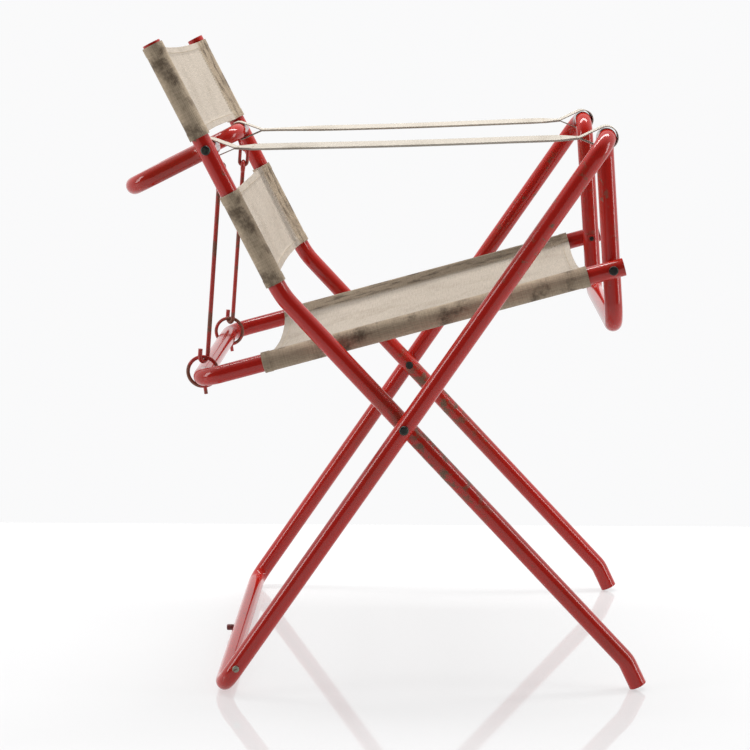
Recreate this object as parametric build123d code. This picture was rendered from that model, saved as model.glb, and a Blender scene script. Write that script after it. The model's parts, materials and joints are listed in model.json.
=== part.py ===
from build123d import *
import os
from math import atan2, cos, degrees, radians, sin, sqrt

# Folding director chair: a closed outer tube loop and two back legs cross like scissors, a seat
# frame hangs between them, and three canvas slings and two webbing arm straps make it a chair.
# X points forward, Y to the sitter's left, Z up. The floor is z = 0 and x = 0 is mid-depth.

# ---- Driving dimensions, millimetres and degrees ----
TUBE_RADIUS = 11.0
TUBE_WALL = 1.5
FIT_GAP = 0.05  # radial running clearance of pins, plugs and wires
CUT_OVERRUN = 1.0  # how far a cutter runs past the face it opens
PIVOT_X = 25.35  # the crossing of the legs, forward of mid-depth
PIVOT_Z = 334.0

# Distance of each tube from the middle plane
OUTER_Y = 250.0
BACK_Y = 227.0
SEAT_Y = 198.0
DROP_Y = 174.0
HOOP_Y = 146.0
RING_Y = 168.0

# Outer frame: long leg, top turn, front drop tube, front crossbar, rear floor bar
OUTER_ANGLE = 55.0
APEX_REACH = 424.0
DROP_ANGLE = -86.2
DROP_LENGTH = 234.0
CROSSBAR_BEND = 28.0
FLOOR_BAR_BEND = 22.0
FLOOR_BAR_JOINT = 24.0
SPIGOT_LENGTH = 34.0
SPIGOT_NECK = 1.5
LEG_RIVET_REACH = 30.0

# Back legs
LEG_ANGLE = 47.5
FOOT_ANGLE = 65.0
FOOT_BEND_Z = 36.0
FOOT_BEND = 35.0
KNEE_X = -147.0
KNEE_BEND = 110.0
UPRIGHT_ANGLE = 116.5
UPRIGHT_LENGTH = 338.0

# Spreader hoop behind the back
HOOP_REACH_Z = 670.0
HOOP_ANGLE = 206.1
HOOP_LENGTH = 114.5
HOOP_BEND = 28.0
PLUG_INSET = 2.0  # the end plugs sit just inside the coped ends of the hoop
PLUG_LENGTH = 18.0

# Seat frame
SEAT_PIVOT_Z = 520.0
SEAT_ANGLE = 194.8
SEAT_LENGTH = 523.5
SEAT_BEND = 28.0
SEAT_OVERHANG = 14.0

# Hanger: eye, link, rod and ring on each side
WIRE_RADIUS = 2.3
ROD_RADIUS = 2.75
EYE_RADIUS = 6.0
EYE_DROP = 20.0
EYE_EMBED = 3.0
LINK_HALF_WIDTH = 5.25
LINK_LENGTH = 26.0
ROD_EYE_RADIUS = 6.5
HOOK_BEND = 7.2
HOOK_TURN = 35.0
HOOK_TIP = 9.0
HOOK_PLAY = 0.3  # the ring's wire curves away across the width of the hook
RING_RADIUS = 18.5
RING_TAIL = 10.0
RING_TAIL_TURN = 12.0

# Fasteners
PIVOT_RIVET_RADIUS = 3.5
BOLT_RADIUS = 3.0
HEAD_RADIUS = 5.8
HEAD_HEIGHT = 3.5
HEAD_ROUNDING = 0.6  # edge round as a share of the head's height
PEENED_RADIUS = 5.3
PEENED_HEIGHT = 2.0
NUT_ACROSS_FLATS = 10.0
NUT_HEIGHT = 5.0
THREAD_SHOWN = 1.0
WASHER_RADIUS = 7.0
LEG_RIVET_RADIUS = 2.5
LEG_RIVET_HEAD_RADIUS = 4.2
LEG_RIVET_HEAD_HEIGHT = 2.0
LEG_RIVET_DEPTH = 6.0
STUD_RADIUS = 4.0
STUD_LENGTH = 9.0
STUD_ROUNDING = 1.2

# Soft parts
SLEEVE_GAP = 0.3
CLOTH = 1.2
BACK_SLING_WIDTH = 122.0
UPPER_SLING_TOP = 3.0
LOWER_SLING_START = 16.0
SEAT_SLING_FRONT = 31.0
SEAT_SLING_LENGTH = 411.0
STRAP_WIDTH = 34.0
STRAP_THICKNESS = 2.4
STRAP_REAR_Y = 194.0
STRAP_FRONT_Y = 212.0
STRAP_MERGE = 32.0
STRAP_REAR_LOOP = 12.0
STRAP_FRONT_LOOP = 13.0

SIDES = {"left": 1.0, "right": -1.0}
BORE_RADIUS = TUBE_RADIUS - TUBE_WALL


def direction(angle):
    """Unit vector in the side plane at an angle measured up from +X."""
    return Vector(cos(radians(angle)), 0, sin(radians(angle)))


def at_y(point, y):
    """The same place in the side view, moved to y."""
    return Vector(point.X, y, point.Z)


# ---- Side view of the chair, all on y = 0 ----
PIVOT = Vector(PIVOT_X, 0, PIVOT_Z)
FLOOR_CORNER = PIVOT - direction(OUTER_ANGLE) * ((PIVOT_Z - TUBE_RADIUS) / sin(radians(OUTER_ANGLE)))
APEX = PIVOT + direction(OUTER_ANGLE) * APEX_REACH
DROP_END = APEX + direction(DROP_ANGLE) * DROP_LENGTH

FOOT_BEND_POINT = PIVOT + direction(-LEG_ANGLE) * ((PIVOT_Z - FOOT_BEND_Z) / sin(radians(LEG_ANGLE)))
FOOT_END_Z = TUBE_RADIUS * cos(radians(FOOT_ANGLE))
FOOT_LENGTH = (FOOT_BEND_Z - FOOT_END_Z) / sin(radians(FOOT_ANGLE))
FOOT_END = FOOT_BEND_POINT + direction(-FOOT_ANGLE) * FOOT_LENGTH
KNEE = PIVOT + direction(180 - LEG_ANGLE) * (-KNEE_X / cos(radians(LEG_ANGLE)))
BACK_TOP = KNEE + direction(UPRIGHT_ANGLE) * UPRIGHT_LENGTH

HOOP_REACH = (HOOP_REACH_Z - KNEE.Z) / sin(radians(UPRIGHT_ANGLE))
HOOP_BOLT = KNEE + direction(UPRIGHT_ANGLE) * HOOP_REACH
HOOP_REAR = HOOP_BOLT + direction(HOOP_ANGLE) * HOOP_LENGTH

SEAT_BOLT = APEX + direction(DROP_ANGLE) * ((APEX.Z - SEAT_PIVOT_Z) / sin(radians(-DROP_ANGLE)))
SEAT_REAR = SEAT_BOLT + direction(SEAT_ANGLE) * SEAT_LENGTH
SEAT_FRONT = SEAT_BOLT - direction(SEAT_ANGLE) * SEAT_OVERHANG

# The hook's two legs stand either side of the ring, so the rod hangs inboard of it
HOOK_OFFSET = HOOK_BEND + FIT_GAP
HOOK_BACKSET = HOOK_OFFSET * sin(radians(HOOK_TURN))
ROD_Y = RING_Y - HOOK_OFFSET * cos(radians(HOOK_TURN))

# The eye hangs from the hoop's front bend, over the rod
INTO_BEND = HOOP_Y + HOOP_BEND - ROD_Y
EYE_ROOT = HOOP_BOLT + direction(HOOP_ANGLE) * (HOOP_BEND - sqrt(HOOP_BEND**2 - INTO_BEND**2))
EYE_WAY = direction(HOOP_ANGLE + 90)
EYE_SEAT = EYE_ROOT + EYE_WAY * (EYE_DROP + EYE_RADIUS)

# The hanger pulls in a straight line from the eye to the ring under the seat's rear bar
PULL = (SEAT_REAR + Vector(HOOK_BACKSET, 0, 0) - EYE_SEAT).normalized()
RING_CENTRE = SEAT_REAR - PULL * (RING_RADIUS - WIRE_RADIUS - TUBE_RADIUS - FIT_GAP)
RING_TOP = RING_CENTRE - PULL * RING_RADIUS
LINK_TOP = EYE_SEAT - PULL * (2 * WIRE_RADIUS + FIT_GAP)
LINK_BOTTOM = LINK_TOP + PULL * LINK_LENGTH
WIRE_STACK = WIRE_RADIUS + ROD_RADIUS + FIT_GAP
ROD_TOP = LINK_BOTTOM - PULL * WIRE_STACK


# ---- Shared shapes ----
def rod_along(start, way, length, radius):
    """Round bar from a point along a direction."""
    return extrude(Plane(origin=start, z_dir=way) * Circle(radius), amount=length)


def across(point, y_from, y_to, radius):
    """Round bar along Y between two distances from the middle plane."""
    return rod_along(at_y(point, min(y_from, y_to)), Vector(0, 1, 0), abs(y_to - y_from), radius)


def cross_hole(point, y_middle, radius):
    """Cutter right through a tube whose middle is at y_middle."""
    reach = TUBE_RADIUS + CUT_OVERRUN
    return across(point, y_middle - reach, y_middle + reach, radius + FIT_GAP)


def outer_hole(point, side, radius):
    """Cutter through the outer wall only of a long leg."""
    outside = OUTER_Y + TUBE_RADIUS + CUT_OVERRUN
    return across(point, side * outside, side * OUTER_Y, radius + FIT_GAP)


def bent_bar(route, bend, radius):
    """Round bar along a route of straight runs joined by arcs."""
    path = FilletPolyline(*route, radius=bend)
    return sweep(Plane(origin=path @ 0, z_dir=path % 0) * Circle(radius), path=path)


def bent_tube(route, bend):
    """Frame tube with its bore, along a route of straight runs joined by arcs."""
    return bent_bar(route, bend, TUBE_RADIUS) - bent_bar(route, bend, BORE_RADIUS)


def wire_ring(centre, normal, ring_radius, wire_radius):
    """Closed ring of round wire."""
    return Plane(origin=centre, z_dir=normal) * Torus(ring_radius, wire_radius)


def domed_head(point, y_seat, side, radius, height):
    """Domed fastener head standing outwards from a seat at y_seat."""
    head = across(point, side * y_seat, side * (y_seat + height), radius)
    rim = head.edges().filter_by(GeomType.CIRCLE).sort_by(Axis.Y)
    return fillet(rim[-1] if side > 0 else rim[0], HEAD_ROUNDING * height)


def both_sides(make):
    """One compound holding the right-hand and left-hand piece of a pair."""
    return Compound(children=[make(side) for side in (-1.0, 1.0)])


def write(name, shape):
    """Save one node."""
    shape.label = name
    export_step(shape, f"parts/{name}.step")


os.makedirs("parts", exist_ok=True)


# ---- Outer frame: one tube from floor-bar joint to floor-bar joint ----
def outer_frame_tube():
    joint = FLOOR_CORNER + direction(OUTER_ANGLE) * FLOOR_BAR_JOINT
    rivet = FLOOR_CORNER + direction(OUTER_ANGLE) * LEG_RIVET_REACH
    corners = [(joint, OUTER_Y), (APEX, OUTER_Y), (APEX, DROP_Y), (DROP_END, DROP_Y)]
    route = [at_y(point, -y) for point, y in corners]
    route += [at_y(point, y) for point, y in reversed(corners)]
    tube = bent_tube(route, CROSSBAR_BEND)
    for side in SIDES.values():
        tube -= cross_hole(PIVOT, side * OUTER_Y, PIVOT_RIVET_RADIUS)
        tube -= cross_hole(SEAT_BOLT, side * DROP_Y, BOLT_RADIUS)
        tube -= outer_hole(rivet, side, LEG_RIVET_RADIUS)
    return tube


def floor_bar():
    """Rear floor bar with its ends turned up and reduced to spigots inside the legs."""
    up = direction(OUTER_ANGLE)
    joint = FLOOR_CORNER + up * FLOOR_BAR_JOINT
    route = [at_y(joint, -OUTER_Y), at_y(FLOOR_CORNER, -OUTER_Y)]
    route += [at_y(FLOOR_CORNER, OUTER_Y), at_y(joint, OUTER_Y)]
    bar = bent_tube(route, FLOOR_BAR_BEND)
    rivet = FLOOR_CORNER + up * LEG_RIVET_REACH
    spigot_radius = BORE_RADIUS - FIT_GAP
    spigot_bore = spigot_radius - TUBE_WALL
    for side in SIDES.values():
        end = at_y(joint, side * OUTER_Y)
        bar += rod_along(end - up * SPIGOT_NECK, up, SPIGOT_NECK, TUBE_RADIUS)
        bar += rod_along(end, up, SPIGOT_LENGTH, spigot_radius)
        bar -= rod_along(end - up * (2 * SPIGOT_NECK), up, SPIGOT_LENGTH + 3 * SPIGOT_NECK, spigot_bore)
        bar -= outer_hole(rivet, side, LEG_RIVET_RADIUS)
    stud_hole = TUBE_RADIUS + CUT_OVERRUN
    return bar - rod_along(FLOOR_CORNER, Vector(-1, 0, 0), stud_hole, LEG_RIVET_RADIUS + FIT_GAP)


def leg_rivet(side):
    rivet = FLOOR_CORNER + direction(OUTER_ANGLE) * LEG_RIVET_REACH
    outside = OUTER_Y + TUBE_RADIUS
    shank = across(rivet, side * outside, side * (outside - LEG_RIVET_DEPTH), LEG_RIVET_RADIUS)
    return shank + domed_head(rivet, outside, side, LEG_RIVET_HEAD_RADIUS, LEG_RIVET_HEAD_HEIGHT)


def floor_bar_stud():
    """Small buffer standing backwards from the middle of the floor bar."""
    seat = FLOOR_CORNER - Vector(TUBE_RADIUS, 0, 0)
    head = rod_along(seat, Vector(-1, 0, 0), STUD_LENGTH, STUD_RADIUS)
    head = fillet(head.edges().filter_by(GeomType.CIRCLE).sort_by(Axis.X)[0], STUD_ROUNDING)
    return head + rod_along(seat, Vector(1, 0, 0), 2 * TUBE_WALL, LEG_RIVET_RADIUS)


def cross_pivot_rivet(side):
    outside = OUTER_Y + TUBE_RADIUS
    inside = BACK_Y - TUBE_RADIUS
    shank = across(PIVOT, side * outside, side * inside, PIVOT_RIVET_RADIUS)
    tail = across(PIVOT, side * inside, side * (inside - PEENED_HEIGHT), PEENED_RADIUS)
    return shank + tail + domed_head(PIVOT, outside, side, HEAD_RADIUS, HEAD_HEIGHT)


def cross_pivot_washer(side):
    faces = (side * (BACK_Y + TUBE_RADIUS), side * (OUTER_Y - TUBE_RADIUS))
    disc = across(PIVOT, *faces, WASHER_RADIUS)
    return disc - across(PIVOT, *faces, PIVOT_RIVET_RADIUS + FIT_GAP)


def seat_pivot_bolt(side):
    outside = SEAT_Y + TUBE_RADIUS
    tip = DROP_Y - TUBE_RADIUS - NUT_HEIGHT - THREAD_SHOWN
    shank = across(SEAT_BOLT, side * outside, side * tip, BOLT_RADIUS)
    return shank + domed_head(SEAT_BOLT, outside, side, HEAD_RADIUS, HEAD_HEIGHT)


def seat_pivot_washer(side):
    faces = (side * (SEAT_Y - TUBE_RADIUS), side * (DROP_Y + TUBE_RADIUS))
    return across(SEAT_BOLT, *faces, WASHER_RADIUS) - across(SEAT_BOLT, *faces, BOLT_RADIUS + FIT_GAP)


def seat_pivot_nut(side):
    seat = side * (DROP_Y - TUBE_RADIUS)
    plane = Plane(origin=at_y(SEAT_BOLT, seat), z_dir=Vector(0, -side, 0))
    hexagon = RegularPolygon(NUT_ACROSS_FLATS / 2, 6, major_radius=False) - Circle(BOLT_RADIUS + FIT_GAP)
    return extrude(plane * hexagon, amount=NUT_HEIGHT)


# ---- Back frame: two bent legs, the spreader hoop and its eyes ----
def back_leg(side):
    y = side * BACK_Y
    route = [at_y(point, y) for point in (FOOT_END, FOOT_BEND_POINT, KNEE, BACK_TOP)]
    leg = bent_tube(route, [FOOT_BEND, KNEE_BEND])
    leg -= cross_hole(PIVOT, y, PIVOT_RIVET_RADIUS)
    return leg - cross_hole(HOOP_BOLT, y, BOLT_RADIUS)


def spreader_hoop():
    corners = [(HOOP_BOLT, BACK_Y), (HOOP_BOLT, HOOP_Y), (HOOP_REAR, HOOP_Y)]
    route = [at_y(point, -y) for point, y in corners]
    route += [at_y(point, y) for point, y in reversed(corners)]
    hoop = bent_tube(route, HOOP_BEND)
    for side in SIDES.values():
        upright_foot = at_y(HOOP_BOLT, side * BACK_Y) - direction(UPRIGHT_ANGLE) * (3 * TUBE_RADIUS)
        hoop -= rod_along(upright_foot, direction(UPRIGHT_ANGLE), 6 * TUBE_RADIUS, TUBE_RADIUS + FIT_GAP)
        shank = at_y(EYE_ROOT, side * ROD_Y)
        hoop -= rod_along(shank, EYE_WAY, TUBE_RADIUS + CUT_OVERRUN, WIRE_RADIUS + FIT_GAP)
    return hoop


def hoop_end_plug(side):
    """Threaded plug fixed inside each end of the hoop."""
    outer_end = BACK_Y - TUBE_RADIUS - PLUG_INSET
    inner_end = outer_end - PLUG_LENGTH
    plug = across(HOOP_BOLT, side * outer_end, side * inner_end, BORE_RADIUS - FIT_GAP)
    return plug - across(HOOP_BOLT, side * outer_end, side * inner_end, BOLT_RADIUS + FIT_GAP)


def hoop_bolt(side):
    outside = BACK_Y + TUBE_RADIUS
    tip = BACK_Y - TUBE_RADIUS - PLUG_LENGTH
    shank = across(HOOP_BOLT, side * outside, side * tip, BOLT_RADIUS)
    return shank + domed_head(HOOP_BOLT, outside, side, HEAD_RADIUS, HEAD_HEIGHT)


def hoop_eye(side):
    root = at_y(EYE_ROOT, side * ROD_Y)
    ring = wire_ring(root + EYE_WAY * EYE_DROP, direction(HOOP_ANGLE), EYE_RADIUS, WIRE_RADIUS)
    shank_start = BORE_RADIUS - EYE_EMBED
    shank_length = EYE_DROP - EYE_RADIUS - shank_start
    return ring + rod_along(root + EYE_WAY * shank_start, EYE_WAY, shank_length, WIRE_RADIUS)


# ---- Hangers: each rod hangs by a link from its eye and hooks under a ring on the seat ----
def hanger_link(side):
    """Oval link between the eye and the rod."""
    run = PULL * (LINK_LENGTH - 2 * LINK_HALF_WIDTH)
    top = at_y(LINK_TOP + PULL * LINK_HALF_WIDTH, side * ROD_Y)
    slot = Plane(origin=top + run / 2, x_dir=PULL, z_dir=Vector(0, 1, 0)) * SlotCenterToCenter(
        run.length, 2 * LINK_HALF_WIDTH
    )
    path = slot.face().outer_wire()
    return sweep(Plane(origin=path @ 0, z_dir=path % 0) * Circle(WIRE_RADIUS), path=path)


def hanger_rod(side):
    """Rod with an eye at its top and an open hook at its foot, its tip turned outwards."""
    top = at_y(ROD_TOP, side * ROD_Y)
    eye = wire_ring(top + PULL * ROD_EYE_RADIUS, PULL.cross(Vector(0, 1, 0)), ROD_EYE_RADIUS, ROD_RADIUS)
    outward = Vector(-sin(radians(HOOK_TURN)), side * cos(radians(HOOK_TURN)), 0)
    outward = (outward - PULL * outward.dot(PULL)).normalized()
    shank_top = top + PULL * (2 * ROD_EYE_RADIUS)
    hook_depth = (RING_TOP - ROD_TOP).dot(PULL) + WIRE_STACK + HOOK_PLAY
    hook_floor = top + PULL * hook_depth
    hook_width = outward * (2 * HOOK_OFFSET)
    tip = hook_floor + hook_width - PULL * (HOOK_BEND + HOOK_TIP)
    return eye + bent_bar([shank_top, hook_floor, hook_floor + hook_width, tip], HOOK_BEND, ROD_RADIUS)


def seat_ring(side):
    """Wire ring around the rear bar of the seat, with its wire end standing out as a tail."""
    centre = at_y(RING_CENTRE, side * RING_Y)
    tail_way = direction(degrees(atan2(PULL.Z, PULL.X)) + RING_TAIL_TURN)
    ring = wire_ring(centre, Vector(0, 1, 0), RING_RADIUS, WIRE_RADIUS)
    return ring + rod_along(centre + tail_way * RING_RADIUS, tail_way, RING_TAIL, WIRE_RADIUS)


# ---- Seat frame ----
def seat_frame_tube():
    route = [at_y(SEAT_FRONT, -SEAT_Y), at_y(SEAT_REAR, -SEAT_Y)]
    route += [at_y(SEAT_REAR, SEAT_Y), at_y(SEAT_FRONT, SEAT_Y)]
    tube = bent_tube(route, SEAT_BEND)
    for side in SIDES.values():
        tube -= cross_hole(SEAT_BOLT, side * SEAT_Y, BOLT_RADIUS)
    return tube


# ---- Soft parts: slings with a sleeve on each side tube, and the arm straps ----
def sling(start, way, length, tube_y):
    """Sling with a sleeve round each side tube and a flat panel pulled taut between them."""
    inner = TUBE_RADIUS + SLEEVE_GAP
    outer = inner + CLOTH
    cloth = None
    for side in SIDES.values():
        sleeve = rod_along(at_y(start, side * tube_y), way, length, outer)
        cloth = sleeve if cloth is None else cloth + sleeve
    panel_plane = Plane(origin=start, x_dir=Vector(0, 1, 0), z_dir=way)
    cloth += extrude(panel_plane * Rectangle(2 * tube_y, CLOTH), amount=length)
    for side in SIDES.values():
        bore_start = at_y(start, side * tube_y) - way * CUT_OVERRUN
        cloth -= rod_along(bore_start, way, length + 2 * CUT_OVERRUN, inner)
    return cloth


def back_sling(reach):
    way = direction(UPRIGHT_ANGLE)
    return sling(KNEE + way * reach, way, BACK_SLING_WIDTH, BACK_Y)


def seat_canvas():
    way = direction(SEAT_ANGLE)
    start = SEAT_BOLT + way * SEAT_SLING_FRONT
    return sling(start, way, SEAT_SLING_LENGTH, SEAT_Y)


def teardrop(centre, merge, radius, tail):
    """Round loop drawn out to a point, as a face in the strap's own plane."""
    edges = (Pos(*centre) * Circle(radius)).edges() + (Pos(*merge) * Circle(tail)).edges()
    return make_hull(edges)


def arm_strap(side):
    """Webbing strap with a sewn loop round the hoop stub and round the turn of the outer frame."""
    rear = at_y(HOOP_BOLT, side * STRAP_REAR_Y)
    front = at_y(APEX, side * STRAP_FRONT_Y)
    along = front - rear
    span = along.length
    plane = Plane(origin=rear, x_dir=along, z_dir=along.cross(Vector(0, 0, 1)))
    half = STRAP_THICKNESS / 2
    rear_merge = (STRAP_MERGE, 0)
    front_merge = (span - STRAP_MERGE, 0)
    band = Pos(span / 2, 0) * Rectangle(span - 2 * STRAP_MERGE, STRAP_THICKNESS)
    profile = band + teardrop((0, 0), rear_merge, STRAP_REAR_LOOP + STRAP_THICKNESS, half)
    profile += teardrop((span, 0), front_merge, STRAP_FRONT_LOOP + STRAP_THICKNESS, half)
    inside = half / 2
    rear_inside = (STRAP_MERGE - STRAP_THICKNESS * 2, 0)
    front_inside = (span - STRAP_MERGE + STRAP_THICKNESS * 2, 0)
    profile -= teardrop((0, 0), rear_inside, STRAP_REAR_LOOP, inside)
    profile -= teardrop((span, 0), front_inside, STRAP_FRONT_LOOP, inside)
    return extrude(plane * profile, amount=STRAP_WIDTH / 2, both=True)


# ---- Write every node ----
write("outer_frame_tube", outer_frame_tube())
write("floor_bar", floor_bar())
write("floor_bar_rivets", both_sides(leg_rivet))
write("floor_bar_stud", floor_bar_stud())
write("cross_pivot_rivets", both_sides(cross_pivot_rivet))
write("cross_pivot_washers", both_sides(cross_pivot_washer))
write("seat_pivot_bolts", both_sides(seat_pivot_bolt))
write("seat_pivot_washers", both_sides(seat_pivot_washer))
write("seat_pivot_nuts", both_sides(seat_pivot_nut))
write("spreader_hoop", spreader_hoop())
write("hoop_end_plugs", both_sides(hoop_end_plug))
write("hoop_bolts", both_sides(hoop_bolt))
write("seat_frame_tube", seat_frame_tube())
write("upper_back_canvas", back_sling(UPRIGHT_LENGTH - UPPER_SLING_TOP - BACK_SLING_WIDTH))
write("lower_back_canvas", back_sling(LOWER_SLING_START))
write("seat_canvas", seat_canvas())
for name, side in SIDES.items():
    write(f"back_leg_{name}", back_leg(side))
    write(f"hoop_eye_{name}", hoop_eye(side))
    write(f"hanger_link_{name}", hanger_link(side))
    write(f"hanger_rod_{name}", hanger_rod(side))
    write(f"seat_ring_{name}", seat_ring(side))
    write(f"arm_strap_{name}", arm_strap(side))
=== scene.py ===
import bmesh
import bpy
import json
from math import acos, atan2, cos, pi, radians, sin, sqrt
from mathutils import Matrix, Vector, noise


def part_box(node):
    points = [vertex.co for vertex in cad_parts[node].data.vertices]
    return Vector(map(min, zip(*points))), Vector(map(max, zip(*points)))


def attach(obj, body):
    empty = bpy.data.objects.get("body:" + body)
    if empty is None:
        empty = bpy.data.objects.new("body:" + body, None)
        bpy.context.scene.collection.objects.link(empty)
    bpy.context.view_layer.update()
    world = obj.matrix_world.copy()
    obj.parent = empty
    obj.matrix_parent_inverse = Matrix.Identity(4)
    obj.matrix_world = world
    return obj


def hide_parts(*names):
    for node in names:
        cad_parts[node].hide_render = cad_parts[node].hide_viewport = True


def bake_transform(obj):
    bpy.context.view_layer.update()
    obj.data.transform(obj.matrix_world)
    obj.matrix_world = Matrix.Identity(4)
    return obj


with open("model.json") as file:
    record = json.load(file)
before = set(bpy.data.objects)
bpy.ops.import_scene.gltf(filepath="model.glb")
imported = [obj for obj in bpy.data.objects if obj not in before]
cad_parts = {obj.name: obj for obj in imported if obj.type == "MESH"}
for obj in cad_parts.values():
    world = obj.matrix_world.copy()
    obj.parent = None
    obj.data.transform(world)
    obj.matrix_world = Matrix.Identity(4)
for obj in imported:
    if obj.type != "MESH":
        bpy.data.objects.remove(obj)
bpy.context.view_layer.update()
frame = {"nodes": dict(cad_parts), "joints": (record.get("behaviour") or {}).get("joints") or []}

# ---- Studio: glossy white floor ----
# A sheet of white gloss acrylic, cut square and a little turned to the chair. Its far edge stands
# out faintly against the white wall, and the tubes mirror softly in it.
FLOOR_SIZE = 5.0
FLOOR_FAR_EDGE = 0.62
FLOOR_TURN = radians(-1.6)
FLOOR_CLEARANCE = 0.0005
ACRYLIC_WHITE = (0.30, 0.30, 0.302, 1)
ACRYLIC_GLOW = 0.51  # light that the sheet lets through from below


def new_material(name):
    """A fresh material, returned with its node tree and its Principled shader."""
    material = bpy.data.materials.new(name)
    material.use_nodes = True
    tree = material.node_tree
    return material, tree, tree.nodes["Principled BSDF"]


def set_inputs(node, **values):
    """Set a node's sockets by name, with spaces written as underscores."""
    for name, value in values.items():
        node.inputs[name.replace("_", " ")].default_value = value
    return node


acrylic, tree, shader = new_material("white_acrylic")
set_inputs(shader, Base_Color=ACRYLIC_WHITE, Roughness=0.05, Specular_IOR_Level=0.4)
set_inputs(shader, Emission_Color=(1, 1, 1, 1), Emission_Strength=ACRYLIC_GLOW)
bpy.ops.object.select_all(action="DESELECT")
floor_place = (0, FLOOR_FAR_EDGE - FLOOR_SIZE / 2, -FLOOR_CLEARANCE)
bpy.ops.mesh.primitive_plane_add(size=FLOOR_SIZE, location=floor_place)
floor = bpy.context.object
floor.name = "studio_floor"
floor.rotation_euler.z = FLOOR_TURN
floor.data.materials.append(acrylic)

# ---- Studio: white room ----
# An all-white room with its dark side behind the camera, so that every tube shows a bright edge
# and a darker middle. The wall itself is seen as an even white from every side.
ROOM_DARK = (0.055, 0.055, 0.058, 1)
ROOM_DARK_END = 0.20
ROOM_WHITE = (0.975, 0.975, 0.98, 1)
ROOM_WHITE_START = 0.56
WALL_WHITE = (0.955, 0.955, 0.96, 1)


def mix_colour(tree, mask, low, high):
    """A colour mixed by a mask. Each end is a colour or another node's output."""
    node = tree.nodes.new("ShaderNodeMix")
    node.data_type = "RGBA"
    tree.links.new(mask, node.inputs["Factor"])
    for name, value in (("A", low), ("B", high)):
        end = next(s for s in node.inputs if s.name == name and s.type == "RGBA")
        if isinstance(value, tuple):
            end.default_value = value
        else:
            tree.links.new(value, end)
    return next(s for s in node.outputs if s.type == "RGBA")


room = bpy.data.worlds.new("studio")
bpy.context.scene.world = room
room.use_nodes = True
sky = room.node_tree
way_out = sky.nodes.new("ShaderNodeTexCoord")
split = sky.nodes.new("ShaderNodeSeparateXYZ")
depth = set_inputs(sky.nodes.new("ShaderNodeMapRange"), From_Min=-1.0, From_Max=1.0)
ramp = sky.nodes.new("ShaderNodeValToRGB")
sky.links.new(way_out.outputs["Generated"], split.inputs["Vector"])
sky.links.new(split.outputs["Y"], depth.inputs["Value"])
sky.links.new(depth.outputs["Result"], ramp.inputs["Fac"])
dark_end, white_end = ramp.color_ramp.elements
dark_end.position = ROOM_DARK_END
dark_end.color = ROOM_DARK
white_end.position = ROOM_WHITE_START
white_end.color = ROOM_WHITE
seen = sky.nodes.new("ShaderNodeLightPath").outputs["Is Camera Ray"]
wall = mix_colour(sky, seen, ramp.outputs["Color"], WALL_WHITE)
sky.links.new(wall, sky.nodes["Background"].inputs["Color"])

# ---- Studio: soft lights ----
# A long softbox overhead and a bank of light on each side, all turned to the middle of the chair.
# Each draws one long highlight down the tubes.
CHAIR_MIDDLE = (0, 0, 0.4)


def softbox(name, place, size, power):
    """A rectangular area light aimed at the middle of the chair."""
    light = bpy.data.lights.new(name, "AREA")
    light.shape = "RECTANGLE"
    light.size, light.size_y = size
    light.energy = power
    holder = bpy.data.objects.new(name, light)
    bpy.context.scene.collection.objects.link(holder)
    holder.location = place
    holder.rotation_euler = (Vector(CHAIR_MIDDLE) - Vector(place)).to_track_quat("-Z", "Y").to_euler()


softbox("overhead", (0.0, 0.4, 2.4), (2.6, 0.34), 44)
softbox("left_bank", (-2.4, -0.9, 1.2), (0.7, 1.6), 19)
softbox("right_bank", (2.4, -0.6, 1.0), (0.6, 1.6), 17)

# ---- Studio: camera ----
# A long lens a little above the arm straps, looking across the chair from its right side and
# slightly down.
CAMERA_PLACE = (0.0679, -2.7317, 0.8283)
CAMERA_YAW = 0.0311
CAMERA_PITCH = 0.1707
CAMERA_ROLL = -0.0087
CAMERA_LENS = 100.47
SENSOR_WIDTH = 36.0

camera_data = bpy.data.cameras.new("camera")
camera_data.lens = CAMERA_LENS
camera_data.sensor_width = SENSOR_WIDTH
camera = bpy.data.objects.new("camera", camera_data)
bpy.context.scene.collection.objects.link(camera)
aim = Matrix.Rotation(CAMERA_YAW, 4, "Z") @ Matrix.Rotation(pi / 2 - CAMERA_PITCH, 4, "X")
camera.matrix_world = Matrix.Translation(CAMERA_PLACE) @ aim @ Matrix.Rotation(CAMERA_ROLL, 4, "Z")
bpy.context.scene.camera = camera
bpy.context.scene.view_settings.view_transform = "Standard"

# ---- Outer frame and floor bar: bent steel tube, red enamel ----
# Drawn steel tube, bent cold and dipped in red enamel. Decades of folding have worn the enamel to
# brown steel in specks all over, and in patches high on the long legs, where the frame is gripped.
ENAMEL_RED = (0.440, 0.016, 0.010, 1)
ENAMEL_FADED = (0.350, 0.022, 0.011, 1)
WORN_STEEL = (0.150, 0.070, 0.036, 1)
GRAIN_SHARE = 0.35
GRIP_MIDDLE = (0.200, 0.580)  # x and z
GRIP_REACH = 0.15


def socket(group, name, kind, way, value=None):
    """Add one socket to a node group's interface."""
    made = group.interface.new_socket(name=name, in_out=way, socket_type=kind)
    if value is not None:
        made.default_value = value


def worked(tree, operation, *values):
    """One step of arithmetic on sockets and numbers."""
    node = tree.nodes.new("ShaderNodeMath")
    node.operation = operation
    for place, value in zip(node.inputs, values):
        if isinstance(value, float):
            place.default_value = value
        else:
            tree.links.new(value, place)
    return node.outputs[0]


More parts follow.
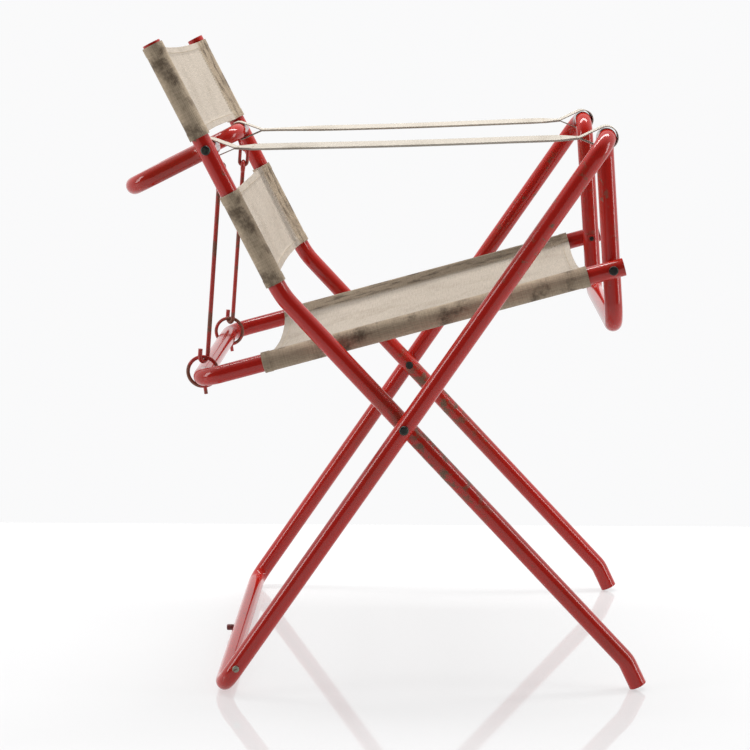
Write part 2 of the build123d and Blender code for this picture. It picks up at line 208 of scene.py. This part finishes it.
def patches_group():
    """Ragged patches over a surface: a broad cloud decides where, a fine grain breaks the edge."""
    group = bpy.data.node_groups.new("ragged_patches", "ShaderNodeTree")
    socket(group, "Vector", "NodeSocketVector", "INPUT")
    socket(group, "Scale", "NodeSocketFloat", "INPUT", 10.0)
    socket(group, "Grain", "NodeSocketFloat", "INPUT", 200.0)
    socket(group, "Cover", "NodeSocketFloat", "INPUT", 0.3)
    socket(group, "Softness", "NodeSocketFloat", "INPUT", 0.05)
    socket(group, "Mask", "NodeSocketFloat", "OUTPUT")
    add, link = group.nodes.new, group.links.new
    source, out = add("NodeGroupInput"), add("NodeGroupOutput")
    cloud = set_inputs(add("ShaderNodeTexNoise"), Detail=3.0, Roughness=0.55)
    grain = set_inputs(add("ShaderNodeTexNoise"), Detail=4.0, Roughness=0.7)
    link(source.outputs["Vector"], cloud.inputs["Vector"])
    link(source.outputs["Vector"], grain.inputs["Vector"])
    link(source.outputs["Scale"], cloud.inputs["Scale"])
    link(source.outputs["Grain"], grain.inputs["Scale"])
    broken = worked(group, "MULTIPLY_ADD", grain.outputs["Fac"], GRAIN_SHARE, cloud.outputs["Fac"])
    edge = worked(group, "SUBTRACT", 1.0, source.outputs["Cover"])
    full = worked(group, "ADD", edge, source.outputs["Softness"])
    cut = add("ShaderNodeMapRange")
    cut.interpolation_type = "SMOOTHSTEP"
    link(broken, cut.inputs["Value"])
    link(edge, cut.inputs["From Min"])
    link(full, cut.inputs["From Max"])
    link(cut.outputs["Result"], out.inputs["Mask"])
    return group


ragged_patches = patches_group()


def use_group(tree, group, vector, **values):
    """Place a group in a material with its own values."""
    node = tree.nodes.new("ShaderNodeGroup")
    node.node_tree = group
    tree.links.new(vector, node.inputs["Vector"])
    return set_inputs(node, **values)


def patches(tree, place, scale, grain, cover, softness):
    """The mask of ragged patches laid over a surface."""
    values = {"Scale": scale, "Grain": grain, "Cover": cover, "Softness": softness}
    return use_group(tree, ragged_patches, place, **values).outputs["Mask"]


def object_place(tree):
    """The place on a solid piece that its patterns are laid out by."""
    return tree.nodes.new("ShaderNodeTexCoord").outputs["Object"]


def ranged(tree, value, low, high):
    """A 0 to 1 value spread between two numbers."""
    node = set_inputs(tree.nodes.new("ShaderNodeMapRange"), To_Min=low, To_Max=high)
    tree.links.new(value, node.inputs["Value"])
    return node.outputs["Result"]


def bump(tree, shader, height, strength, distance):
    """Feed a height into the shader's normal."""
    node = set_inputs(tree.nodes.new("ShaderNodeBump"), Strength=strength, Distance=distance)
    tree.links.new(height, node.inputs["Height"])
    tree.links.new(node.outputs["Normal"], shader.inputs["Normal"])


def rubbed_near(tree, place, middle, reach):
    """A mask that fades out with the distance, in the side view, from a rubbed stretch."""
    flat = tree.nodes.new("ShaderNodeVectorMath")
    flat.operation = "MULTIPLY_ADD"
    flat.inputs[1].default_value = (1, 0, 1)
    flat.inputs[2].default_value = (-middle[0], 0, -middle[1])
    tree.links.new(place, flat.inputs[0])
    far = tree.nodes.new("ShaderNodeVectorMath")
    far.operation = "LENGTH"
    tree.links.new(flat.outputs["Vector"], far.inputs[0])
    near = set_inputs(tree.nodes.new("ShaderNodeMapRange"), From_Min=reach / 4, From_Max=reach)
    set_inputs(near, To_Min=1.0, To_Max=0.0)
    tree.links.new(far.outputs["Value"], near.inputs["Value"])
    return near.outputs["Result"]


def enamel(name, rub_cover, rub_middle, rub_reach):
    """Red enamel with a few worn specks, and worn through where it is rubbed."""
    material, tree, shader = new_material(name)
    place = object_place(tree)
    fade = patches(tree, place, scale=6.0, grain=60.0, cover=0.36, softness=0.30)
    rub = patches(tree, place, scale=90.0, grain=650.0, cover=rub_cover, softness=0.16)
    specks = patches(tree, place, scale=70.0, grain=520.0, cover=0.12, softness=0.05)
    rubbed = worked(tree, "MULTIPLY", rub, rubbed_near(tree, place, rub_middle, rub_reach))
    wear = worked(tree, "MAXIMUM", rubbed, specks)
    red = mix_colour(tree, fade, ENAMEL_RED, ENAMEL_FADED)
    tree.links.new(mix_colour(tree, wear, red, WORN_STEEL), shader.inputs["Base Color"])
    tree.links.new(ranged(tree, wear, 0.13, 0.48), shader.inputs["Roughness"])
    bump(tree, shader, ranged(tree, wear, 1.0, 0.0), 0.15, 0.0002)
    return material


def paint(material, *names):
    """Give CAD pieces a material in place of their plain one."""
    for name in names:
        for holder in frame["nodes"][name].material_slots:
            holder.material = material


red_enamel = enamel("red_enamel", 0.24, GRIP_MIDDLE, GRIP_REACH)
paint(red_enamel, "outer_frame_tube", "floor_bar")

# ---- Back legs: bent steel tube, red enamel worn by the crossing legs ----
# The same tube and enamel, one leg on each side, bent at the foot and at the knee. Each turns
# against a long leg at the cross pivot, so its enamel is worn furthest just below that pivot.
CROSSING_MIDDLE = (0.065, 0.290)  # x and z
CROSSING_REACH = 0.12

rubbed_enamel = enamel("rubbed_enamel", 0.36, CROSSING_MIDDLE, CROSSING_REACH)
paint(rubbed_enamel, "back_leg_left", "back_leg_right")

# ---- Spreader hoop: bent steel tube, red enamel ----
# One tube bent to a U behind the back. Its coped ends are bolted between the two back legs and
# hold them apart against the pull of the canvas.
paint(red_enamel, "spreader_hoop")

# ---- Seat frame: bent steel tube, red enamel ----
# One tube bent to a long U, open at the front, where a bolt through each side hangs it from the
# outer frame. Its rear bar hangs in the two wire rings.
paint(red_enamel, "seat_frame_tube")

# ---- Pivot rivets, seat bolts and hoop bolts ----
# Domed steel heads, blackened and gone a little green with age. The seat bolts' nuts, on the
# inner side of the drop tubes, were dipped red with the frame.
BLACK_STEEL = (0.012, 0.014, 0.011, 1)
GREEN_BLOOM = (0.050, 0.056, 0.040, 1)
FINE_RELIEF = 0.0002


def two_tone_finish(name, base, over, rough, metallic, relief, scale, grain, cover, softness):
    """A finish in two tones, the second in ragged patches. Its roughness is a range or a number."""
    material, tree, shader = new_material(name)
    mask = patches(tree, object_place(tree), scale, grain, cover, softness)
    tree.links.new(mix_colour(tree, mask, base, over), shader.inputs["Base Color"])
    if isinstance(rough, tuple):
        tree.links.new(ranged(tree, mask, *rough), shader.inputs["Roughness"])
    else:
        set_inputs(shader, Roughness=rough)
    set_inputs(shader, Metallic=metallic)
    if relief:
        bump(tree, shader, mask, relief, FINE_RELIEF)
    return material


dark_steel = two_tone_finish(
    "dark_steel", BLACK_STEEL, GREEN_BLOOM, rough=(0.30, 0.55), metallic=0.35, relief=0.3,
    scale=130.0, grain=900.0, cover=0.34, softness=0.2,
)
paint(dark_steel, "cross_pivot_rivets", "seat_pivot_bolts", "hoop_bolts")
paint(red_enamel, "seat_pivot_nuts")

# ---- Washers, hoop plugs and floor-bar rivets ----
# Turned and stamped steel, zinc-plated and now dull. They were fitted before the frame was
# dipped, and a little of its red still clings to them.
DULL_ZINC = (0.27, 0.28, 0.22, 1)
CLINGING_RED = (0.17, 0.05, 0.04, 1)

worn_zinc = two_tone_finish(
    "worn_zinc", DULL_ZINC, CLINGING_RED, rough=(0.38, 0.6), metallic=0.5, relief=0.4,
    scale=240.0, grain=1500.0, cover=0.30, softness=0.08,
)
paint(worn_zinc, "floor_bar_rivets", "cross_pivot_washers", "seat_pivot_washers", "hoop_end_plugs")

# ---- Floor-bar stud ----
# A small round-ended stud, fixed to the back of the floor bar at its middle. It is a darker red
# than the tube, and scuffed.
STUD_MAROON = (0.150, 0.016, 0.016, 1)
STUD_SCUFFED = (0.16, 0.05, 0.04, 1)

maroon_stud = two_tone_finish(
    "maroon_stud", STUD_MAROON, STUD_SCUFFED, rough=0.42, metallic=0.0, relief=0.3,
    scale=160.0, grain=1200.0, cover=0.30, softness=0.15,
)
paint(maroon_stud, "floor_bar_stud")

# ---- Hangers: eyes, links, rods and rings of bent wire ----
# Bright steel wire bent cold, dipped red with the frame, and worn through to brown rust wherever
# link, eye, hook and ring rub on each other.
WIRE_RED = (0.42, 0.030, 0.022, 1)
WIRE_RUST = (0.19, 0.070, 0.040, 1)

hanger_paint = two_tone_finish(
    "hanger_paint", WIRE_RED, WIRE_RUST, rough=(0.28, 0.62), metallic=0.0, relief=0.4,
    scale=46.0, grain=520.0, cover=0.34, softness=0.12,
)
for side in ("left", "right"):
    paint(hanger_paint, f"hoop_eye_{side}", f"hanger_link_{side}", f"hanger_rod_{side}", f"seat_ring_{side}")

# ---- Canvas: coarse linen for the seat and the two back slings ----
# Plain-woven unbleached linen. Thick and thin threads show both ways, the sleeves are darkened by
# painted shade and grimed where hands and tubes rub them, and old damp has left faint brown marks.
THREAD_PITCH = 0.0019
ACROSS_THREADS = 1400.0
ALONG_THREADS = 60.0
CLEAN_LINEN = (0.475, 0.410, 0.335, 1)
DAMP_LINEN = (0.375, 0.315, 0.245, 1)
# The two sleeve tones below are partly grime and partly painted shade on the cloth curled round the tubes.
SHADED_HANDLED_LINEN = (0.430, 0.340, 0.240, 1)
GRIME_AND_SHADE = (0.150, 0.110, 0.072, 1)
SHADE_AND_GRIME_START = -0.002  # from the seam
SHADE_AND_GRIME_FULL = 0.012
WEAVE_RELIEF = 0.0004


def weave_group():
    """Plain weave over a cloth laid out in metres, with thick and thin threads both ways."""
    group = bpy.data.node_groups.new("plain_weave", "ShaderNodeTree")
    socket(group, "Vector", "NodeSocketVector", "INPUT")
    socket(group, "Pitch", "NodeSocketFloat", "INPUT", THREAD_PITCH)
    socket(group, "Height", "NodeSocketFloat", "OUTPUT")
    socket(group, "Slub", "NodeSocketFloat", "OUTPUT")
    add, link = group.nodes.new, group.links.new
    source, out = add("NodeGroupInput"), add("NodeGroupOutput")
    parts = add("ShaderNodeSeparateXYZ")
    link(source.outputs["Vector"], parts.inputs["Vector"])
    waves = []
    slubs = []
    stretches = {"X": (ACROSS_THREADS, ALONG_THREADS, 1), "Y": (ALONG_THREADS, ACROSS_THREADS, 1)}
    for axis, stretch in stretches.items():
        turns = worked(group, "DIVIDE", parts.outputs[axis], source.outputs["Pitch"])
        waves.append(worked(group, "SINE", worked(group, "MULTIPLY", turns, pi)))
        along = add("ShaderNodeVectorMath")
        along.operation = "MULTIPLY"
        along.inputs[1].default_value = stretch
        link(source.outputs["Vector"], along.inputs[0])
        thread = set_inputs(add("ShaderNodeTexNoise"), Scale=0.5, Detail=2.0)
        link(along.outputs[0], thread.inputs["Vector"])
        slubs.append(thread.outputs["Fac"])
    crown = worked(group, "ABSOLUTE", worked(group, "MULTIPLY", *waves))
    slub = worked(group, "MULTIPLY", worked(group, "ADD", *slubs), 0.5)
    link(crown, out.inputs["Height"])
    link(slub, out.inputs["Slub"])
    return group


plain_weave = weave_group()


def cloth_place(tree):
    """The place on a cloth's flat layout, in metres."""
    laid = tree.nodes.new("ShaderNodeUVMap")
    laid.uv_map = "cloth"
    return laid.outputs["UV"]


def measured(tree, value, low, high):
    """A 0 to 1 mask of where a value lies between two numbers."""
    node = set_inputs(tree.nodes.new("ShaderNodeMapRange"), From_Min=low, From_Max=high)
    tree.links.new(value, node.inputs["Value"])
    return node.outputs["Result"]


def shaded(tree, colour, share):
    """A colour made lighter or darker by a share."""
    node = tree.nodes.new("ShaderNodeHueSaturation")
    tree.links.new(colour, node.inputs["Color"])
    tree.links.new(share, node.inputs["Value"])
    return node.outputs["Color"]


def canvas(name, seam, shade):
    """Linen with sleeves beyond the seam darkened by grime and painted shade, faint marks and the weave in
    its height.
    """
    material, tree, shader = new_material(name)
    place = cloth_place(tree)
    weave = use_group(tree, plain_weave, place, Pitch=THREAD_PITCH)
    parts = tree.nodes.new("ShaderNodeSeparateXYZ")
    tree.links.new(place, parts.inputs["Vector"])
    run = worked(tree, "ABSOLUTE", parts.outputs["Y"])
    # Beyond the seam the sleeves take darker tones: part grime, part painted shade.
    sleeve_shade_and_grime = measured(tree, run, seam + SHADE_AND_GRIME_START, seam + SHADE_AND_GRIME_FULL)
    damp = patches(tree, place, scale=13.0, grain=90.0, cover=0.40, softness=0.40)
    marks = patches(tree, place, scale=34.0, grain=260.0, cover=0.38, softness=0.26)
    clean = mix_colour(tree, damp, CLEAN_LINEN, DAMP_LINEN)
    grimed_and_shaded = mix_colour(tree, marks, SHADED_HANDLED_LINEN, GRIME_AND_SHADE)
    stained_and_shaded = mix_colour(tree, sleeve_shade_and_grime, clean, grimed_and_shaded)
    threads = measured(tree, weave.outputs["Slub"], 0.35, 0.65)
    slubbed = shaded(tree, stained_and_shaded, ranged(tree, threads, 0.82 * shade, 1.16 * shade))
    woven = shaded(tree, slubbed, ranged(tree, weave.outputs["Height"], 0.92, 1.04))
    tree.links.new(woven, shader.inputs["Base Color"])
    set_inputs(shader, Roughness=0.92, Specular_IOR_Level=0.15, Sheen_Weight=0.12, Sheen_Roughness=0.6)
    bump(tree, shader, weave.outputs["Height"], 0.55, WEAVE_RELIEF)
    return material


# ---- Slings: a panel with a sewn sleeve round each side tube ----
# One length of canvas. Each long edge goes round its tube and is stitched back under the panel,
# and both ends have a narrow hem. The panel gives a little, so its ends draw in between the tubes.
TUBE_RADIUS = 0.011
CANVAS_THICKNESS = 0.0012
CANVAS_SHARE = 0.7  # of the folded hem's thickness
HEM_THICKNESS = CANVAS_THICKNESS / CANVAS_SHARE
HEM = 0.010
HEM_EDGE = 0.0008
SLEEVE_INSIDE = 0.01135
SLEEVE_STEPS = 22
SEAM_INSET = 0.021
SEAM_DROP = 0.0002
SEAM_LAP = 0.009
CELL_LENGTH = 0.007
CELL_WIDTH = 0.008
STITCH_PITCH = 0.0042
STITCH_LENGTH = 0.0015
STITCH_WIDTH = 0.00045
SEAM_ROWS = (0.002, 0.007)  # in from the seam
HEM_ROW = 0.0015  # out from the hem's inner edge
RIPPLE = 0.0012
RIPPLES_PER_METRE = 16
NEAR = 0.0001  # how far off a place may be and still be picked
WELD = 0.00001
CREASE = radians(50)
UPRIGHT_LEAN = radians(116.5)
SEAT_LEAN = radians(194.8)
THREAD_TAN = (0.50, 0.42, 0.31, 1)
THREAD_SOILED = (0.33, 0.26, 0.18, 1)

# The cloth leaves the seam on a straight ramp that meets the sleeve's circle as a tangent.
RAMP = sqrt(SEAM_INSET**2 - SLEEVE_INSIDE**2)
RAMP_REACH = RAMP**2 / SEAM_INSET
RAMP_RISE = RAMP * SLEEVE_INSIDE / SEAM_INSET
WRAP = 2 * pi - 2 * acos(SLEEVE_INSIDE / SEAM_INSET)


def start_sheet(name, length, width, cells):
    """A flat grid in edit mode, its length along X and its width from y = 0."""
    bpy.ops.object.select_all(action="DESELECT")
    bpy.ops.mesh.primitive_grid_add(x_subdivisions=cells[0], y_subdivisions=cells[1], size=1)
    piece = bpy.context.object
    piece.name = piece.data.name = name
    bpy.ops.object.mode_set(mode="EDIT")
    bpy.ops.mesh.select_mode(type="VERT")
    bpy.ops.mesh.select_all(action="SELECT")
    bpy.ops.transform.resize(value=(length, width, 1))
    bpy.ops.transform.translate(value=(0, width / 2, 0))
    return piece


def pick(piece, test):
    """In edit mode, select the vertices whose place passes a test."""
    shape = bmesh.from_edit_mesh(piece.data)
    bpy.ops.mesh.select_all(action="DESELECT")
    for vertex in shape.verts:
        vertex.select = test(vertex.co)
    shape.select_flush_mode()
    bmesh.update_edit_mesh(piece.data)


def extrude_by(x, y, z):
    """Extrude what is selected by a move."""
    bpy.ops.mesh.extrude_region_move(TRANSFORM_OT_translate={"value": (x, y, z)})


def apply_all(piece):
    """Apply a piece's modifiers in order."""
    bpy.context.view_layer.objects.active = piece
    for modifier in list(piece.modifiers):
        bpy.ops.object.modifier_apply(modifier=modifier.name)


def face_up(piece, middle, weld):
    """Weld the sheet and turn it so that the face nearest a point looks up. Ends in object mode."""
    bpy.ops.object.mode_set(mode="EDIT")
    bpy.ops.mesh.select_all(action="SELECT")
    bpy.ops.mesh.remove_doubles(threshold=weld)
    bpy.ops.mesh.normals_make_consistent(inside=False)
    shape = bmesh.from_edit_mesh(piece.data)
    nearest = min(shape.faces, key=lambda face: (face.calc_center_median() - middle).length)
    if nearest.normal.z < 0:
        bpy.ops.mesh.flip_normals()
    bpy.ops.object.mode_set(mode="OBJECT")


def lay_out(piece, flat):
    """Write a cloth's flat layout, in metres, as its UV map."""
    layout = piece.data.uv_layers[0]
    layout.name = "cloth"
    for loop in piece.data.loops:
        layout.data[loop.index].uv = flat(piece.data.vertices[loop.vertex_index].co)


def run_of(spot, tube_y):
    """How far along the cloth a place is from the panel's middle line, negative on the right."""
    seam = tube_y - SEAM_INSET
    side = 1 if spot.y >= 0 else -1
    out = abs(spot.y)
    if out > seam + NEAR:
        bend = atan2(spot.z, out - tube_y)
        return side * (seam + RAMP + ((WRAP / 2 - bend) % (2 * pi)) * SLEEVE_INSIDE)
    if spot.z > -SEAM_DROP / 2:
        return side * out
    return side * (seam + 2 * RAMP + WRAP * SLEEVE_INSIDE + seam - out)


def cut_canvas(name, length, tube_y):
    """A sling laid flat: one half with its sleeve and lap, hemmed at both ends, then mirrored."""
    seam = tube_y - SEAM_INSET
    hem_inside = length / 2 - HEM
    cloth = start_sheet(name, length, seam, (round(length / CELL_LENGTH), round(seam / CELL_WIDTH)))
    pick(cloth, lambda spot: spot.y > seam - NEAR)
    extrude_by(0, RAMP_REACH, RAMP_RISE)
    bpy.ops.mesh.spin(steps=SLEEVE_STEPS, angle=WRAP, center=(0, tube_y, 0), axis=(1, 0, 0))
    extrude_by(0, -RAMP_REACH, RAMP_RISE - SEAM_DROP)
    extrude_by(0, -SEAM_LAP, -SEAM_DROP)
    for edge in (hem_inside, hem_inside - HEM_EDGE):
        for way in (1, -1):
            bpy.ops.mesh.select_all(action="SELECT")
            bpy.ops.mesh.bisect(plane_co=(way * edge, 0, 0), plane_no=(1, 0, 0))
    bpy.ops.object.mode_set(mode="OBJECT")
    mirror = cloth.modifiers.new("other_side", "MIRROR")
    mirror.use_axis = (False, True, False)
    apply_all(cloth)
    face_up(cloth, Vector((0, 0, 0)), WELD)
    lay_out(cloth, lambda spot: (spot.x, run_of(spot, tube_y)))
    thick = cloth.vertex_groups.new(name="hem")
    for vertex in cloth.data.vertices:
        hemmed = abs(vertex.co.x) > hem_inside - HEM_EDGE / 2
        thick.add([vertex.index], 1.0 if hemmed else CANVAS_SHARE, "REPLACE")
    return cloth


def stitch_row(start, way, length):
    """A row of stitches, one lens-shaped stitch repeated."""
    bpy.ops.object.select_all(action="DESELECT")
    bpy.ops.mesh.primitive_uv_sphere_add(segments=6, ring_count=4, radius=1)
    row = bpy.context.object
    bpy.ops.object.mode_set(mode="EDIT")
    bpy.ops.mesh.select_all(action="SELECT")
    bpy.ops.transform.resize(value=[STITCH_LENGTH if part else STITCH_WIDTH for part in way])
    bpy.ops.transform.translate(value=start)
    bpy.ops.object.mode_set(mode="OBJECT")
    repeat = row.modifiers.new("stitches", "ARRAY")
    repeat.count = int(length / STITCH_PITCH)
    repeat.use_relative_offset = False
    repeat.use_constant_offset = True
    repeat.constant_offset_displace = [STITCH_PITCH * part for part in way]
    apply_all(row)
    return row


def joined(rows, name):
    """Join rows into one piece."""
    bpy.ops.object.select_all(action="DESELECT")
    for row in rows:
        row.select_set(True)
    bpy.context.view_layer.objects.active = rows[0]
    bpy.ops.object.join()
    rows[0].name = rows[0].data.name = name
    return rows[0]


def canvas_stitches(name, length, seam):
    """Two rows along each seam and one row across each hem."""
    half = length / 2
    rows = []
    for side in (1, -1):
        for inset in SEAM_ROWS:
            start = (STITCH_PITCH - half, side * (seam - inset), CANVAS_THICKNESS)
            rows.append(stitch_row(start, (1, 0, 0), length - STITCH_PITCH))
        start = (side * (half - HEM + HEM_ROW), STITCH_PITCH - seam, HEM_THICKNESS)
        rows.append(stitch_row(start, (0, 1, 0), 2 * seam - STITCH_PITCH))
    return joined(rows, name)


def laid_along(origin, along, across):
    """The placing that turns a flat piece's X and Y along two directions, from an origin."""
    place = Matrix((along, across, along.cross(across))).transposed().to_4x4()
    place.translation = origin
    return place


def hang(pieces, pulled, place):
    """Move each point of flat pieces by a rule, then turn the pieces to where they hang."""
    for piece in pieces:
        for vertex in piece.data.vertices:
            vertex.co = pulled(vertex.co)
        piece.data.transform(place)


def thicken(piece, thickness, offset, share_group=""):
    """Give a sheet its thickness."""
    shell = piece.modifiers.new("thickness", "SOLIDIFY")
    shell.thickness = thickness
    shell.offset = offset
    shell.vertex_group = share_group
    apply_all(piece)


def smooth(pieces):
    """Shade pieces smooth, apart from their creases."""
    bpy.ops.object.select_all(action="DESELECT")
    for piece in pieces:
        piece.select_set(True)
        bpy.context.view_layer.objects.active = piece
    bpy.ops.object.shade_smooth_by_angle(angle=CREASE)


def dress(piece, material):
    """Give a new piece its material."""
    piece.data.materials.clear()
    piece.data.materials.append(material)


thread = two_tone_finish(
    "linen_thread", THREAD_TAN, THREAD_SOILED, rough=0.85, metallic=0.0, relief=0.0,
    scale=30.0, grain=400.0, cover=0.36, softness=0.3,
)


def sling(node, body, tubes, lean, length, sag, draw_in, slip, shade):
    """Cut, sew and hang one sling in place of its plain solid."""
    tube_y = round(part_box(tubes[0])[1].y - TUBE_RADIUS, 5)
    seam = tube_y - SEAM_INSET
    cloth = cut_canvas(node.replace("canvas", "sling"), length, tube_y)
    stitches = canvas_stitches(cloth.name + "_stitches", length, seam)

    def pulled(spot):
        """The panel sags and ripples, its ends draw in, and its top left corner slips down its tube."""
        x, y, z = spot
        free = max(0.0, 1 - (y / seam) ** 2)
        slipped = slip * (y / tube_y + 1) / 2 * (0.5 - x / length)
        ripple = RIPPLE * noise.noise(Vector((x, y, sag)) * RIPPLES_PER_METRE)
        return x - draw_in * free * x / (length / 2) + slipped, y, z - (sag + ripple) * free

    low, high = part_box(node)
    run = Vector((-cos(lean), 0, -sin(lean)))
    hang((cloth, stitches), pulled, laid_along((low + high) / 2, run, Vector((0, 1, 0))))
    thicken(cloth, HEM_THICKNESS, 1, "hem")
    smooth((cloth, stitches))
    dress(cloth, canvas(node + "_linen", seam, shade))
    dress(stitches, thread)
    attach(cloth, body)
    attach(stitches, body)
    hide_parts(node)


legs = ["back_leg_left", "back_leg_right"]
sling(
    "upper_back_canvas", "back_frame", legs, UPRIGHT_LEAN,
    length=0.122, sag=0.005, draw_in=0.0030, slip=0.004, shade=1.0,
)
sling(
    "lower_back_canvas", "back_frame", legs, UPRIGHT_LEAN,
    length=0.122, sag=0.006, draw_in=0.0030, slip=0.0, shade=1.0,
)
sling(
    "seat_canvas", "seat_frame", ["seat_frame_tube"], SEAT_LEAN,
    length=0.411, sag=0.006, draw_in=0.0045, slip=0.0, shade=0.86,
)

# ---- Arm straps: cotton webbing with a sewn loop at each end ----
# One band folded double. It goes round the stub of the spreader hoop at the back and round the
# top turn of the outer frame at the front, and the plies are stitched together beyond each loop.
WEBBING_THICKNESS = 0.0012
PLY_LIFT = 0.00065
STRAP_WIDTH = 0.034
STRAP_CELLS = (60, 6)
UNDER_PLY_STEPS = 20
REAR_LOOP_RADIUS = 0.01235
REAR_LOOP_Y = 0.194
FRONT_LOOP_RADIUS = 0.01340
FRONT_LOOP_Y = 0.212
LOOP_MERGE = 0.032
LOOP_STEPS = 20
LOOP_ROWS = (0.004, 0.022)  # beyond the merge
STRAP_WELD = 0.00005
STRAP_SAG = 0.0010
TWIST_SHARE = 0.07  # of the strap, for the twist to build up
LONG_LEG_LEAN = radians(55.0)
LONG_LEG_REACH = 0.424  # from the cross pivot to the top turn
RIB_PITCH = 0.0015
WEBBING_WHITE = (0.56, 0.51, 0.44, 1)
WEBBING_SOILED = (0.40, 0.35, 0.285, 1)


def placed(x, z):
    """A place in the middle plane, to a hundredth of a millimetre."""
    return Vector((round(x, 5), 0, round(z, 5)))


hoop_bolts_middle = sum(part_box("hoop_bolts"), Vector()) / 2
hoop_bolt = placed(hoop_bolts_middle.x, hoop_bolts_middle.z)
pivot = next(joint["pos_m"] for joint in frame["joints"] if joint["name"] == "frame_fold")
top_turn = placed(
    pivot[0] + LONG_LEG_REACH * cos(LONG_LEG_LEAN), pivot[2] + LONG_LEG_REACH * sin(LONG_LEG_LEAN)
)

webbing, tree, shader = new_material("cotton_webbing")
flat_place = cloth_place(tree)
rib = use_group(tree, plain_weave, flat_place, Pitch=RIB_PITCH).outputs["Height"]
soil = patches(tree, flat_place, scale=14.0, grain=160.0, cover=0.34, softness=0.35)
tone = mix_colour(tree, soil, WEBBING_WHITE, WEBBING_SOILED)
tree.links.new(shaded(tree, tone, ranged(tree, rib, 0.86, 1.05)), shader.inputs["Base Color"])
set_inputs(shader, Roughness=0.9, Specular_IOR_Level=0.2)
bump(tree, shader, rib, 0.5, WEAVE_RELIEF)


def looped_band(name, span):
    """A doubled band laid flat along X, its plies parted into a loop round a tube at each end."""
    straight = span - 2 * LOOP_MERGE
    band = start_sheet(name, straight, STRAP_WIDTH, STRAP_CELLS)
    bpy.ops.transform.translate(value=(span / 2, -STRAP_WIDTH / 2, PLY_LIFT))
    for middle, radius, turn in ((0, REAR_LOOP_RADIUS, -1), (span, FRONT_LOOP_RADIUS, 1)):
        merge = middle - turn * LOOP_MERGE
        opened = acos(radius / LOOP_MERGE)
        reach = middle - turn * radius * cos(opened) - merge
        rise = radius * sin(opened) - PLY_LIFT
        pick(band, lambda spot: abs(spot.x - merge) < NEAR and spot.z > 0)
        extrude_by(reach, 0, rise)
        sweep = -turn * 2 * (pi - opened)
        bpy.ops.mesh.spin(steps=LOOP_STEPS, angle=sweep, center=(middle, 0, 0), axis=(0, 1, 0))
        extrude_by(-reach, 0, rise)
    pick(band, lambda spot: spot.z < 0 and abs(spot.x - LOOP_MERGE) < NEAR)
    for step in range(UNDER_PLY_STEPS):
        extrude_by(straight / UNDER_PLY_STEPS, 0, 0)
    face_up(band, Vector((span / 2, 0, PLY_LIFT)), STRAP_WELD)
    lay_out(band, lambda spot: (spot.x + spot.z, spot.y))
    return band


def band_stitches(name, span):
    """Two rows beyond each loop, on both faces."""
    insets = [LOOP_MERGE + row for row in LOOP_ROWS]
    rows = []
    for end in insets + [span - inset for inset in insets]:
        for face in (1, -1):
            start = (end, STITCH_PITCH - STRAP_WIDTH / 2, face * (PLY_LIFT + WEBBING_THICKNESS / 2))
            rows.append(stitch_row(start, (0, 1, 0), STRAP_WIDTH - STITCH_PITCH))
    return joined(rows, name)


def arm_strap(side, way, twist, twist_share):
    """Fold, sew and hang one arm strap in place of its plain solid."""
    rear = Vector((hoop_bolt.x, way * REAR_LOOP_Y, hoop_bolt.z))
    front = Vector((top_turn.x, way * FRONT_LOOP_Y, top_turn.z))
    span = (front - rear).length
    straight = span - 2 * LOOP_MERGE
    strap = looped_band(f"arm_webbing_{side}", span)
    stitches = band_stitches(f"{strap.name}_stitches", span)

    def pulled(spot):
        """The strap leans over between its loops and sags a little."""
        x, y, z = spot
        free = min(max((x - LOOP_MERGE) / straight, 0.0), 1.0)
        lean = twist * sin(pi / 2 * min(1, free / twist_share, (1 - free) / TWIST_SHARE)) ** 2
        low = STRAP_SAG * sin(pi * free) ** 2
        return x, y * cos(lean) - z * sin(lean), z * cos(lean) + y * sin(lean) - low

    along = (front - rear).normalized()
    across = Vector((0, 0, 1)).cross(along).normalized()
    hang((strap, stitches), pulled, laid_along(rear, along, across))
    thicken(strap, WEBBING_THICKNESS, 0)
    smooth((strap, stitches))
    dress(strap, webbing)
    dress(stitches, thread)
    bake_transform(strap)
    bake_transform(stitches)
    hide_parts(f"arm_strap_{side}")


arm_strap("left", 1, radians(6.0), 0.24)
arm_strap("right", -1, radians(6.5), TWIST_SHARE)
